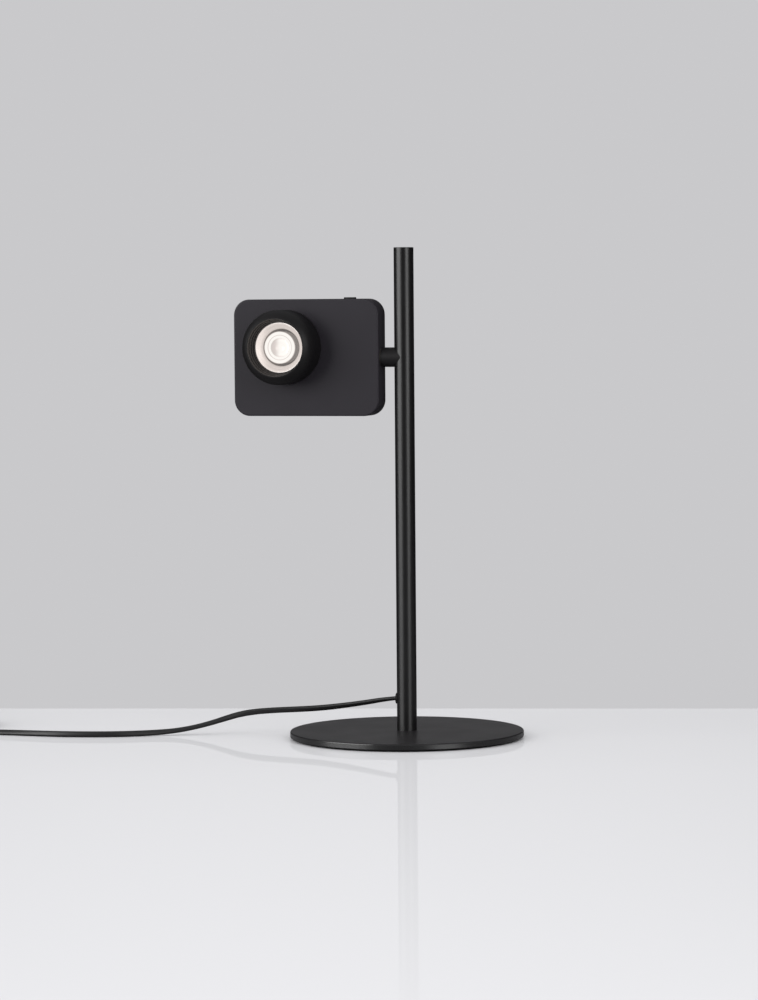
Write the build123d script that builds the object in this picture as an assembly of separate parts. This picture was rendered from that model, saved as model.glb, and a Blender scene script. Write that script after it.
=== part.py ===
from build123d import *
import math
import os

# LED table lamp. Sizes are in millimetres, angles in degrees. The origin is the centre of the
# base's underside, +Z is up, the spot faces -Y and the head stands on the -X side of the post.

# Clearances
seat_gap = 0.02  # between pieces that sit in each other and don't move
face_gap = 0.05  # between flat faces that turn on each other
running_gap = 0.07  # radial, where the head turns on its nipple
cover_gap = 0.15  # round the back cover
free_gap = 0.3  # between pieces that move past each other
floor_gap = 0.05  # under what lies beside the base
cut_overrun = 3.0  # how far a cutting tool reaches past a face

# Base
base_diameter = 189.0
base_thickness = 5.0
base_edge_round = 0.8
pad_thickness = 1.2
pad_inset = 3.5

# Post
total_height = 395.7
post_diameter = 16.0
post_wall = 1.5
cap_thickness = 0.8
cap_spigot_length = 6.0
cap_edge_round = 0.3
foot_plug_length = 16.0
post_screw_diameter = 6.0
post_screw_head_diameter = 12.0
post_screw_length = 17.0
post_screw_socket = 4.0
post_screw_socket_depth = 2.2

# Cord outlet and the cord inside the post
cord_width = 4.9
cord_height = 31.8
bush_flange_diameter = 9.0
bush_flange_thickness = 0.7
bush_flange_round = 0.5
bush_sleeve_diameter = 7.0
bush_sleeve_reach = 1.0
inner_cord_offset = 3.5
inner_bend_radius = 8.0

# Arm and swivel, along the tilt axis
tilt_axis_height = 307.6
head_spacing = 10.8
stub_diameter = 15.8
lead_hole_diameter = 8.0
nipple_diameter = 10.0
nipple_bore = 7.0
nipple_engagement = 8.8
nipple_tail = 2.0
washer_diameter = 14.8
friction_washer_thickness = 0.8
inner_washer_thickness = 0.8
spring_washer_thickness = 0.6
spring_washer_height = 1.2
nut_across_flats = 13.0
nut_thickness = 4.0
stop_pin_diameter = 1.2
stop_circle_radius = 6.4
stop_groove_width = 1.6
stop_groove_depth = 1.6
stop_web_angle = 20.0

# Head
head_width = 122.0
head_height = 94.5
head_depth = 20.0
head_corner_radius = 13.0
head_wall = 2.0
head_front_thickness = 2.0
head_front_round = 1.2
cover_lip = 1.0
cover_thickness = 2.0
boss_diameter = 7.0
boss_inset = 9.5
screw_diameter = 3.0
screw_head_diameter = 5.6
screw_head_height = 1.8
cover_screw_length = 9.0
recess_length_share = 0.6
recess_width_share = 0.16
recess_depth_share = 0.2

# Spot; depths are measured back from the barrel's rim
spot_offset_x = -17.3
spot_offset_z = 8.4
barrel_diameter = 60.4
barrel_length = 28.5
barrel_bore_diameter = 42.0
rim_round_length = 11.0
rim_diameter = 47.6
aperture_diameter = 46.2
throat_diameter = 39.6
throat_depth = 12.4
glare_step_count = 4
glare_ledge_share = 0.35
reflector_front_diameter = 39.2
reflector_back_diameter = 29.7
reflector_length = 6.3
reflector_wall = 0.8
lens_diameter = 26.1
lens_depth = 13.6
lens_flange_thickness = 1.2
lens_body_diameter = 23.8
lens_back_diameter = 9.0
lens_length = 10.7
lens_ring_diameter = 20.0
lens_ring_step = 0.4
lens_dish_diameter = 15.0
lens_dish_depth = 6.0
lens_pocket_diameter = 6.0
lens_pocket_depth = 3.0
holder_wall = 0.7
holder_gap = 0.3
board_diameter = 39.0
board_thickness = 1.6
emitter_diameter = 7.0
emitter_thickness = 0.8
emitter_dome_diameter = 4.8
sink_boss_diameter = 39.6
sink_flange_diameter = 56.0
sink_flange_thickness = 2.5
sink_fin_thickness = 1.6
sink_fin_pitch = 5.0
sink_fin_height = 8.0
sink_fin_inset = 6.5
barrel_screw_circle = 52.0
barrel_screw_length = 12.0
barrel_screw_count = 3

# Driver and wiring
driver_length = 46.0
driver_width = 20.0
driver_height = 13.5
driver_round = 1.5
driver_inset = 45.2
driver_lift = 2.0
driver_ear_length = 7.0
driver_ear_thickness = 1.5
driver_boss_diameter = 6.5
driver_boss_height = 5.0
driver_screw_length = 5.5
wire_diameter = 2.4
wire_bend_radius = 4.0
wire_hole_gap = 0.4
wire_setback = 0.1
wire_drop = 6.4
supply_wire_diameter = 4.0
supply_wire_bend_radius = 7.0
driver_wire_diameter = 3.0
driver_wire_offset = 5.0

# Switch
button_inset = 26.2
button_diameter = 10.0
button_proud = 1.2
button_round = 0.4
button_collar_width = 1.0
button_collar_height = 1.2
button_stem_diameter = 5.0
button_stem_length = 7.0
button_travel = 1.0
switch_width = 16.0
switch_depth = 14.0
switch_height = 17.0

# Cord on the table: points of its free run
cord_run = [
    (-18.5, 0.0, 31.8),
    (-33.0, -0.3, 28.0),
    (-52.0, -0.8, 25.0),
    (-72.5, -1.6, 22.4),
    (-92.0, -3.2, 21.1),
    (-111.0, -5.2, 20.1),
    (-127.0, -7.6, 18.8),
    (-139.5, -10.2, 16.6),
    (-151.0, -12.9, 13.0),
    (-162.0, -16.4, 9.5),
    (-174.0, -20.8, 6.4),
    (-187.0, -26.2, 4.0),
    (-201.0, -32.4, 2.8),
    (-217.0, -41.5, 2.5),
    (-236.0, -50.3, 2.5),
    (-257.0, -55.2, 2.5),
    (-279.0, -57.8, 2.5),
    (-302.0, -56.6, 2.5),
    (-326.0, -55.6, 2.5),
    (-352.0, -55.1, 2.8),
    (-376.0, -55.6, 3.45),
]
bend_share = 0.45

# Coil of the put-away length, its tie and the tail to the plug
coil_centre_x = -398.0
coil_centre_y = -16.65
coil_inner_radius = 19.7
coil_pitch = 5.5
coil_half_turns = 7
gap_sample_step = 1.0
tail_drop_length = 24.0
tail_end_length = 5.0
tie_width = 8.0
tie_thickness = 0.6
tie_gap = 0.35
tie_corner_radius = 2.5

# Plug
plug_length = 35.0
plug_width = 26.0
plug_height = 13.7
plug_neck_width = 12.0
plug_shoulder_share = 0.42
plug_corner_round = 3.0
plug_edge_round = 2.0
relief_length = 18.0
relief_start_diameter = 6.4
relief_end_diameter = 10.0
relief_groove_count = 4
relief_groove_share = 0.5
relief_groove_depth = 0.6
pin_diameter = 4.0
pin_length = 19.0
pin_spacing = 18.6
pin_seat_depth = 8.0
pin_tip_round = 1.2

# Places that follow from the sizes
post_radius = post_diameter / 2
post_bore_radius = post_radius - post_wall
post_foot = pad_thickness + base_thickness
cord_radius = cord_width / 2
cord_section = math.pi * cord_radius**2
bush_face = post_radius + bush_flange_thickness
nipple_radius = nipple_diameter / 2
screw_hole_radius = screw_diameter / 2 + seat_gap

# Along the arm, from the post's axis
head_side = post_radius + head_spacing
stub_end = head_side - friction_washer_thickness - face_gap
wall_inside = head_side + head_wall
inner_washer_start = wall_inside + face_gap
spring_washer_start = inner_washer_start + inner_washer_thickness + seat_gap
nut_start = spring_washer_start + spring_washer_height + seat_gap
nipple_start = stub_end - nipple_engagement
nipple_end = nut_start + nut_thickness + nipple_tail

# In the head, forward from its middle plane
plate_inside = head_depth / 2 - head_front_thickness
cover_inside = cover_thickness - head_depth / 2
head_centre_x = -(head_side + head_width / 2)
head_ceiling = tilt_axis_height + head_height / 2 - head_wall
boss_x = head_width / 2 - boss_inset
boss_y = head_height / 2 - boss_inset
boss_places = GridLocations(2 * boss_x, 2 * boss_y, 2, 2).locations
driver_z = tilt_axis_height - head_height / 2 + head_wall + driver_lift + driver_width / 2
driver_x = -(head_side + driver_inset)
driver_hole_spacing = driver_length + driver_ear_length
ear_seat = plate_inside - driver_boss_height
spot_x = head_centre_x + spot_offset_x
spot_z = tilt_axis_height + spot_offset_z
button_x = -(head_side + button_inset)
switch_floor = head_ceiling - switch_height
collar_top = head_ceiling - free_gap
collar_floor = collar_top - button_collar_height

# In the spot, forward from the front plate
throat_floor = barrel_length - throat_depth
reflector_front = throat_floor - seat_gap
reflector_back = reflector_front - reflector_length
lens_front = barrel_length - lens_depth
lens_flange_floor = lens_front - lens_flange_thickness

# On the table
coil_outer_radius = coil_inner_radius + coil_half_turns * coil_pitch / 2
coil_low = floor_gap + tie_thickness + tie_gap + cord_radius
coil_high = coil_low + coil_pitch
coil_start = Vector(coil_centre_x + cord_width, coil_centre_y - coil_outer_radius, coil_low)
plug_axis = plug_height / 2 + floor_gap
tail_start_y = coil_centre_y + coil_pitch
relief_start_y = tail_start_y + tail_drop_length + tail_end_length
plug_x = coil_centre_x - coil_outer_radius
plug_face = relief_length + plug_length

arm_plane = Plane(origin=(0, 0, tilt_axis_height), x_dir=(0, -1, 0), z_dir=(-1, 0, 0))
bush_plane = Plane(origin=(0, 0, cord_height), x_dir=(0, -1, 0), z_dir=(-1, 0, 0))
head_plane = Plane(origin=(head_centre_x, 0, tilt_axis_height), x_dir=(1, 0, 0), z_dir=(0, -1, 0))
head_back = (head_centre_x, head_depth / 2, tilt_axis_height)
back_plane = Plane(origin=head_back, x_dir=(-1, 0, 0), z_dir=(0, 1, 0))
driver_plane = Plane(origin=(driver_x, 0, driver_z), x_dir=(1, 0, 0), z_dir=(0, -1, 0))
spot_plane = Plane(origin=(spot_x, -head_depth / 2, spot_z), x_dir=(1, 0, 0), z_dir=(0, -1, 0))
plug_plane = Plane(origin=(plug_x, relief_start_y, plug_axis), x_dir=(-1, 0, 0), z_dir=(0, 1, 0))
driver_holes = GridLocations(driver_hole_spacing, 0, 2, 1).locations
driver_places = [driver_plane.location * hole for hole in driver_holes]
barrel_screw_ring = PolarLocations(barrel_screw_circle / 2, barrel_screw_count, start_angle=90)
barrel_screw_places = [spot_plane.location * place for place in barrel_screw_ring.locations]
pin_places = [plug_plane.location * Pos(side * pin_spacing / 2, 0, plug_face) for side in (-1, 1)]


def turned(*outline):
    """Solid of revolution about Z from its (radius, height) corners."""
    return revolve(Plane.XZ * make_face(Polyline(*outline, close=True)), Axis.Z)


def rod(radius, low, high):
    return turned((0, low), (radius, low), (radius, high), (0, high))


def ring(outer_radius, inner_radius, low, high):
    return turned((inner_radius, low), (outer_radius, low), (outer_radius, high), (inner_radius, high))


def tube_along(path, radius):
    section = Plane(origin=path @ 0, z_dir=path % 0) * Circle(radius)
    return sweep(section, path=path)


def cross_recess(head_diameter):
    """Cross slot of a small screw, cut down from height zero."""
    length = recess_length_share * head_diameter
    width = recess_width_share * head_diameter
    depth = 2 * recess_depth_share * head_diameter
    return Box(length, width, depth) + Box(width, length, depth)


def countersunk_form(diameter, head_diameter, length):
    """Screw that points down from its flat head at height zero."""
    return turned(
        (0, 0),
        (head_diameter / 2, 0),
        (diameter / 2, (diameter - head_diameter) / 2),
        (diameter / 2, -length),
        (0, -length),
    )


def pan_screw(length):
    """Small screw that points down from the seat of its head at height zero."""
    head = rod(screw_head_diameter / 2, 0, screw_head_height)
    head = fillet(head.edges().sort_by(Axis.Z)[-1], screw_head_height / 2)
    head -= Pos(0, 0, screw_head_height) * cross_recess(screw_head_diameter)
    return head + rod(screw_diameter / 2, -length, 0)


# Stand


def make_base_disc():
    disc = rod(base_diameter / 2, pad_thickness, post_foot)
    disc = fillet(disc.edges().filter_by(GeomType.CIRCLE), base_edge_round)
    hole = countersunk_form(
        post_screw_diameter + 2 * seat_gap,
        post_screw_head_diameter + 2 * seat_gap,
        base_thickness + cut_overrun,
    )
    return disc - Pos(0, 0, pad_thickness) * Rot(180, 0, 0) * hole


def make_base_pad():
    return rod(base_diameter / 2 - pad_inset, 0, pad_thickness)


def make_post_screw():
    screw = countersunk_form(post_screw_diameter, post_screw_head_diameter, post_screw_length)
    socket_outline = RegularPolygon(post_screw_socket / 2, 6, major_radius=False)
    socket = extrude(socket_outline, -post_screw_socket_depth)
    return Pos(0, 0, pad_thickness) * Rot(180, 0, 0) * (screw - socket)


def make_post_foot_plug():
    thread_radius = post_screw_diameter / 2 + seat_gap
    return ring(post_bore_radius - seat_gap, thread_radius, post_foot, post_foot + foot_plug_length)


def make_post():
    tube = ring(post_radius, post_bore_radius, post_foot, total_height - cap_thickness)
    tube -= bush_plane * rod(bush_sleeve_diameter / 2, 0, post_diameter)
    return tube - arm_plane * rod(lead_hole_diameter / 2, 0, post_diameter)


def make_post_cap():
    low = total_height - cap_thickness
    lid = rod(post_radius, low, total_height)
    lid = fillet(lid.edges().sort_by(Axis.Z)[-1], cap_edge_round)
    return lid + rod(post_bore_radius - seat_gap, low - cap_spigot_length, low)


def make_stub_arm():
    """Round arm, fish-mouthed to the post, with a groove for the stop pin in its free end."""
    arm = rod(stub_diameter / 2, 0, stub_end)
    arm -= rod(lead_hole_diameter / 2, 0, stub_end)
    arm -= rod(nipple_radius + seat_gap, nipple_start, stub_end)
    groove_inner = stop_circle_radius - stop_groove_width / 2
    groove_outer = stop_circle_radius + stop_groove_width / 2
    groove_floor = stub_end - stop_groove_depth
    section = Polyline(
        (groove_inner, groove_floor),
        (groove_outer, groove_floor),
        (groove_outer, stub_end),
        (groove_inner, stub_end),
        close=True,
    )
    groove = revolve(Plane.XZ * make_face(section), Axis.Z, revolution_arc=360 - stop_web_angle)
    arm -= Rot(0, 0, stop_web_angle / 2 - 90) * groove
    low = tilt_axis_height - stub_diameter
    high = tilt_axis_height + stub_diameter
    return arm_plane * arm - rod(post_radius + seat_gap, low, high)


def make_cord_bushing():
    """Flanged bush whose back follows the post's round."""
    flange = rod(bush_flange_diameter / 2, 0, bush_face)
    flange = fillet(flange.edges().sort_by(Axis.Z)[-1], bush_flange_round)
    sleeve_start = post_bore_radius - bush_sleeve_reach
    sleeve_end = bush_face - bush_flange_round
    sleeve = rod(bush_sleeve_diameter / 2 - seat_gap, sleeve_start, sleeve_end)
    post_space = rod(post_radius + seat_gap, cord_height - post_diameter, cord_height + post_diameter)
    bush = bush_plane * flange - post_space + bush_plane * sleeve
    return bush - bush_plane * rod(cord_radius + seat_gap, 0, bush_face)


def make_inner_cord():
    """The cord from the bush's face up the post and through the nipple."""
    path = FilletPolyline(
        (-bush_face, 0, cord_height),
        (inner_cord_offset, 0, cord_height),
        (inner_cord_offset, 0, tilt_axis_height),
        (-nipple_end, 0, tilt_axis_height),
        radius=inner_bend_radius,
    )
    return tube_along(path, cord_radius)


def make_swivel_nipple():
    return arm_plane * ring(nipple_radius, nipple_bore / 2, nipple_start, nipple_end)


def make_inner_washer():
    end = inner_washer_start + inner_washer_thickness
    return arm_plane * ring(washer_diameter / 2, nipple_radius + seat_gap, inner_washer_start, end)


def make_spring_washer():
    """Cone-shaped ring that keeps the swivel under load."""
    inner = nipple_radius + seat_gap
    end = spring_washer_start + spring_washer_height
    return arm_plane * turned(
        (washer_diameter / 2, spring_washer_start),
        (washer_diameter / 2, spring_washer_start + spring_washer_thickness),
        (inner, end),
        (inner, end - spring_washer_thickness),
    )


def make_swivel_nut():
    nut = extrude(RegularPolygon(nut_across_flats / 2, 6, major_radius=False), nut_thickness)
    nut -= rod(nipple_radius + seat_gap, 0, nut_thickness)
    return arm_plane * Pos(0, 0, nut_start) * nut


# Head


def rounded_block(inset, low, high):
    """The head's rounded outline, drawn in by an inset, between two heights."""
    width = head_width - 2 * inset
    height = head_height - 2 * inset
    outline = RectangleRounded(width, height, head_corner_radius - inset)
    return Pos(0, 0, low) * extrude(outline, high - low)


def make_head_shell():
    """Box open at the back: front plate and walls, screw bosses, and holes for what passes through."""
    shell = rounded_block(0, -head_depth / 2, head_depth / 2)
    shell = fillet(shell.faces().sort_by(Axis.Z)[-1].edges(), head_front_round)
    shell -= rounded_block(head_wall, -head_depth / 2, plate_inside)
    shell -= rounded_block(cover_lip, -head_depth / 2, cover_inside)
    for place in boss_places:
        shell += place * ring(boss_diameter / 2, screw_hole_radius, cover_inside, plate_inside)
    shell = head_plane * shell
    for place in driver_places:
        boss = rod(driver_boss_diameter / 2, ear_seat, plate_inside)
        thread_end = ear_seat + driver_screw_length - driver_ear_thickness
        shell += place * (boss - rod(screw_hole_radius, ear_seat, thread_end))
    shell -= spot_plane * rod(sink_boss_diameter / 2 + free_gap, -head_front_thickness, 0)
    for place in barrel_screw_places:
        shell -= place * rod(screw_hole_radius, -head_front_thickness, 0)
    button_hole = rod(button_diameter / 2 + free_gap, head_ceiling, head_ceiling + head_wall)
    shell -= Pos(button_x, 0, 0) * button_hole
    shell -= arm_plane * rod(nipple_radius + running_gap, head_side, wall_inside)
    pin_hole = rod(stop_pin_diameter / 2 + seat_gap, head_side, wall_inside)
    return shell - arm_plane * Pos(0, stop_circle_radius, 0) * pin_hole


def make_back_cover():
    cover = head_plane * rounded_block(cover_lip + cover_gap, -head_depth / 2, cover_inside)
    hole = countersunk_form(
        screw_diameter + 2 * seat_gap,
        screw_head_diameter + 2 * seat_gap,
        cover_thickness + cut_overrun,
    )
    for place in boss_places:
        cover -= back_plane * place * hole
    return cover


def make_cover_screws():
    screw = countersunk_form(screw_diameter, screw_head_diameter, cover_screw_length)
    screw -= cross_recess(screw_head_diameter)
    return Compound(children=[back_plane * place * screw for place in boss_places])


def make_friction_washer():
    start = head_side - friction_washer_thickness
    washer = ring(washer_diameter / 2, nipple_radius + running_gap, start, head_side)
    pin_hole = rod(stop_pin_diameter / 2 + seat_gap, start, head_side)
    return arm_plane * (washer - Pos(0, stop_circle_radius, 0) * pin_hole)


def make_stop_pin():
    tip = stub_end - stop_groove_depth + free_gap
    return arm_plane * Pos(0, stop_circle_radius, 0) * rod(stop_pin_diameter / 2, tip, wall_inside)


def glare_outline():
    """Stepped glare cone, from the rim's opening back to the throat."""
    radius_step = (aperture_diameter - throat_diameter) / 2 / glare_step_count
    depth_step = throat_depth / glare_step_count
    corners = [(aperture_diameter / 2, barrel_length)]
    for step in range(1, glare_step_count + 1):
        radius = aperture_diameter / 2 - step * radius_step
        height = barrel_length - step * depth_step
        corners.append((radius + glare_ledge_share * radius_step, height))
        corners.append((radius, height))
    return corners


def make_spot_barrel():
    """Round snout with a wide rounded rim, a stepped cone inside and a bore for the light source."""
    shoulder = (barrel_diameter / 2, barrel_length - rim_round_length)
    rim = (rim_diameter / 2, barrel_length)
    outline = Polyline(
        rim,
        *glare_outline(),
        (barrel_bore_diameter / 2, throat_floor),
        (barrel_bore_diameter / 2, 0),
        (barrel_diameter / 2, 0),
        shoulder,
    )
    rim_arc = TangentArc(shoulder, rim, tangent=(0, 1))
    barrel = revolve(Plane.XZ * make_face(outline.edges() + rim_arc.edges()), Axis.Z)
    thread_depth = barrel_screw_length - sink_flange_thickness - head_front_thickness
    barrel = spot_plane * barrel
    for place in barrel_screw_places:
        barrel -= place * rod(screw_hole_radius, 0, thread_depth)
    return barrel


def make_reflector():
    """Thin cone with a skirt that stands on the front plate."""
    front_radius = reflector_front_diameter / 2
    back_radius = reflector_back_diameter / 2
    skirt_outer = barrel_bore_diameter / 2 - seat_gap
    skirt_inner = skirt_outer - reflector_wall
    slope = reflector_length / (front_radius - back_radius)
    return spot_plane * turned(
        (front_radius, reflector_front),
        (skirt_outer, reflector_front),
        (skirt_outer, 0),
        (skirt_inner, 0),
        (skirt_inner, reflector_front - (front_radius + reflector_wall - skirt_inner) * slope),
        (back_radius + reflector_wall, reflector_back),
        (back_radius, reflector_back),
    )


def make_lens_holder():
    inner = lens_body_diameter / 2 + holder_gap
    return spot_plane * ring(inner + holder_wall, inner, board_thickness, lens_flange_floor)


def make_lens():
    """Moulded lens: stepped rim, hollow dish in front and a pocket for the light source behind."""
    back = lens_front - lens_length
    dish_edge = (lens_dish_diameter / 2, lens_front - lens_ring_step)
    dish_floor = (0, lens_front - lens_dish_depth)
    outline = Polyline(
        dish_edge,
        (lens_ring_diameter / 2, lens_front - lens_ring_step),
        (lens_ring_diameter / 2, lens_front),
        (lens_diameter / 2, lens_front),
        (lens_diameter / 2, lens_flange_floor),
        (lens_body_diameter / 2, lens_flange_floor),
        (lens_back_diameter / 2, back),
        (lens_pocket_diameter / 2, back),
        (lens_pocket_diameter / 2, back + lens_pocket_depth),
        (0, back + lens_pocket_depth),
        dish_floor,
    )
    dish = TangentArc(dish_floor, dish_edge, tangent=(1, 0))
    return spot_plane * revolve(Plane.XZ * make_face(outline.edges() + dish.edges()), Axis.Z)


def make_led_emitter():
    package = rod(emitter_diameter / 2, board_thickness, board_thickness + emitter_thickness)
    dome = Sphere(emitter_dome_diameter / 2, 0, 90, align=(Align.CENTER, Align.CENTER, Align.MIN))
    return spot_plane * (package + Pos(0, 0, board_thickness + emitter_thickness) * dome)


def make_led_board():
    return spot_plane * rod(board_diameter / 2, 0, board_thickness)


def make_heat_sink():
    """Flanged disc with upright fins behind, and a hole for the leads between two fins."""
    flange_front = -head_front_thickness
    flange_back = flange_front - sink_flange_thickness
    fin_end = flange_back - sink_fin_height
    sink = rod(sink_boss_diameter / 2, flange_front, 0)
    sink += rod(sink_flange_diameter / 2, flange_back, flange_front)
    fin_radius = sink_flange_diameter / 2 - sink_fin_inset
    fin_block = rod(fin_radius, fin_end, flange_back)
    fin = Box(sink_fin_thickness, sink_flange_diameter, sink_fin_height)
    fin = Pos(0, 0, flange_back - sink_fin_height / 2) * fin
    for place in GridLocations(sink_fin_pitch, 0, 2 * int(fin_radius / sink_fin_pitch), 1):
        sink += fin_block & place * fin
    sink -= Pos(-sink_fin_pitch, -wire_drop, 0) * rod(wire_diameter / 2 + wire_hole_gap, fin_end, 0)
    sink = spot_plane * sink
    for place in barrel_screw_places:
        sink -= place * rod(screw_hole_radius, flange_back, flange_front)
    return sink


def make_barrel_screws():
    seat = -head_front_thickness - sink_flange_thickness
    screw = Pos(0, 0, seat) * Rot(180, 0, 0) * pan_screw(barrel_screw_length)
    return Compound(children=[place * screw for place in barrel_screw_places])


def make_led_driver():
    """Potted power supply on the front plate, with an ear at each end on the shell's bosses."""
    body = Box(driver_length, driver_width, driver_height)
    body = fillet(body.edges().filter_by(Axis.Z), driver_round)
    driver = Pos(0, 0, plate_inside - driver_height / 2) * body
    ear_reach = driver_length + 2 * driver_ear_length
    ear_height = ear_seat - driver_ear_thickness
    ears = extrude(Rectangle(ear_reach, driver_boss_diameter), driver_ear_thickness)
    driver = driver_plane * (driver + Pos(0, 0, ear_height) * ears)
    for place in driver_places:
        driver -= place * rod(screw_hole_radius, ear_height, ear_seat)
    return driver


def make_driver_screws():
    seat = ear_seat - driver_ear_thickness
    screw = Pos(0, 0, seat) * Rot(180, 0, 0) * pan_screw(driver_screw_length)
    return Compound(children=[place * screw for place in driver_places])


def make_switch_body():
    """Push switch under the top wall, with a pocket for the button's collar and a bore for its stem."""
    pocket_radius = button_diameter / 2 + button_collar_width + free_gap
    pocket_floor = collar_floor - button_travel - free_gap
    stem_bore_floor = collar_floor - button_stem_length - button_travel - free_gap
    body = Pos(0, 0, switch_floor + switch_height / 2) * Box(switch_width, switch_depth, switch_height)
    body -= rod(pocket_radius, pocket_floor, head_ceiling)
    body -= rod(button_stem_diameter / 2 + free_gap, stem_bore_floor, pocket_floor)
    return Pos(button_x, 0, 0) * body


def make_switch_button():
    top = head_ceiling + head_wall + button_proud
    cap = rod(button_diameter / 2, collar_top, top)
    cap = fillet(cap.edges().sort_by(Axis.Z)[-1], button_round)
    collar = rod(button_diameter / 2 + button_collar_width, collar_floor, collar_top)
    stem = rod(button_stem_diameter / 2, collar_floor - button_stem_length, collar_floor)
    return Pos(button_x, 0, 0) * (cap + collar + stem)


def make_head_wiring():
    """Supply lead from the nipple's end to the switch."""
    path = FilletPolyline(
        (-nipple_end - free_gap, 0, tilt_axis_height),
        (button_x, 0, tilt_axis_height),
        (button_x, 0, switch_floor),
        radius=supply_wire_bend_radius,
    )
    return tube_along(path, supply_wire_diameter / 2)


def make_driver_lead():
    driver_top = driver_z + driver_width / 2
    lead = rod(driver_wire_diameter / 2, driver_top, switch_floor)
    return Pos(button_x - driver_wire_offset, 0, 0) * lead


def make_led_leads():
    """Leads from the driver's end, up behind the fins and forward to the back of the board."""
    start_x = driver_x - driver_length / 2
    turn_x = spot_x - sink_fin_pitch
    behind = driver_height - plate_inside - wire_diameter / 2 - wire_setback
    high = spot_z - wire_drop
    path = FilletPolyline(
        (start_x, behind, driver_z),
        (turn_x, behind, driver_z),
        (turn_x, behind, high),
        (turn_x, -head_depth / 2, high),
        radius=wire_bend_radius,
    )
    return tube_along(path, wire_diameter / 2)


# Cord on the table


def bend_radii(points):
    """The largest arc that each corner's two runs allow."""
    radii = []
    for before, corner, after in zip(points, points[1:], points[2:]):
        run_in = corner - before
        run_out = after - corner
        half_turn = math.radians(run_in.get_angle(run_out)) / 2
        radii.append(bend_share * min(run_in.length, run_out.length) / math.tan(half_turn))
    return radii


def make_cord_free():
    points = [Vector(-bush_face, 0, cord_height), *(Vector(*point) for point in cord_run), coil_start]
    radii = bend_radii(points)
    path = FilletPolyline(*points, radius=radii)
    cord = tube_along(path, cord_radius)
    print("cord_free bend radii", [round(radius) for radius in radii])
    print("cord_free length", round(path.length, 1))
    print("cord_free volume", cord.volume, "section times length", cord_section * path.length)
    return cord


def coil_layer(radii, y, side, height):
    """Half turns from a point on the coil's Y axis; gives the arcs and where they end."""
    arcs = []
    for radius in radii:
        far_y = y - side * 2 * radius
        middle = (side * radius, (y + far_y) / 2, height)
        arcs.append(ThreePointArc((0, y, height), middle, (0, far_y, height)))
        y = far_y
        side = -side
    return arcs, y, side


def coil_edges():
    """Half turns inwards, one climbing half turn, half turns outwards above, then away to the plug."""
    step = coil_pitch / 2
    radii = [coil_outer_radius - turn * step for turn in range(coil_half_turns)]
    lead_in = Line((cord_width, -coil_outer_radius, coil_low), (0, -coil_outer_radius, coil_low))
    lower, y, side = coil_layer(radii, -coil_outer_radius, -1, coil_low)
    far_y = y - side * 2 * coil_inner_radius
    middle = (side * math.hypot(coil_inner_radius, step), (y + far_y) / 2, (coil_low + coil_high) / 2)
    climb = TangentArc((0, y, coil_low), middle, tangent=(side, 0, 0))
    climb_end = TangentArc(middle, (0, far_y, coil_high), tangent=climb % 1)
    upper, y, side = coil_layer(radii[:0:-1], far_y, -side, coil_high)
    tail_x = side * coil_outer_radius
    tail_y = y - side * coil_outer_radius
    quarter = TangentArc((0, y, coil_high), (tail_x, tail_y, coil_high), tangent=(side, 0, 0))
    drop_middle = (tail_x, tail_y + tail_drop_length / 2, (coil_high + plug_axis) / 2)
    drop_end = (tail_x, tail_y + tail_drop_length, plug_axis)
    drop = TangentArc(quarter @ 1, drop_middle, tangent=(0, 1, 0))
    level = TangentArc(drop_middle, drop_end, tangent=drop % 1)
    lead_out = Line(drop_end, (tail_x, tail_y + tail_drop_length + tail_end_length, plug_axis))
    return [lead_in, *lower, climb, climb_end, *upper, quarter, drop, level, lead_out]


def least_coil_gap(path):
    """Smallest free space from turn to turn, between points at even steps along the coil."""
    count = round(path.length / gap_sample_step)
    points = [tuple(path @ (index / count)) for index in range(count + 1)]
    skip = round(2 * coil_pitch / gap_sample_step)
    least = min(
        math.dist(point, other)
        for index, point in enumerate(points[:-skip])
        for other in points[index + skip :]
    )
    return least - cord_width


def make_cord_coil():
    path = Pos(coil_centre_x, coil_centre_y, 0) * Wire([edge.edge() for edge in coil_edges()])
    coil = tube_along(path, cord_radius)
    print("cord_coil length", round(path.length, 1), "least gap", round(least_coil_gap(path), 2))
    print("cord_coil volume", coil.volume, "section times length", cord_section * path.length)
    return coil


def make_cord_tie():
    """Band round the turns on the coil's +X side."""
    inner_width = coil_outer_radius - coil_pitch / 2 - coil_inner_radius + cord_width + 2 * tie_gap
    inner_height = coil_pitch + cord_width + 2 * tie_gap
    outer = RectangleRounded(
        inner_width + 2 * tie_thickness,
        inner_height + 2 * tie_thickness,
        tie_corner_radius + tie_thickness,
    )
    inner = RectangleRounded(inner_width, inner_height, tie_corner_radius)
    band = extrude(outer - inner, tie_width / 2, both=True)
    middle_x = coil_centre_x + (coil_outer_radius - coil_pitch / 2 + coil_inner_radius) / 2
    middle_y = coil_centre_y + coil_pitch / 2
    return Pos(middle_x, middle_y, (coil_low + coil_high) / 2) * Rot(90, 0, 0) * band


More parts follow.
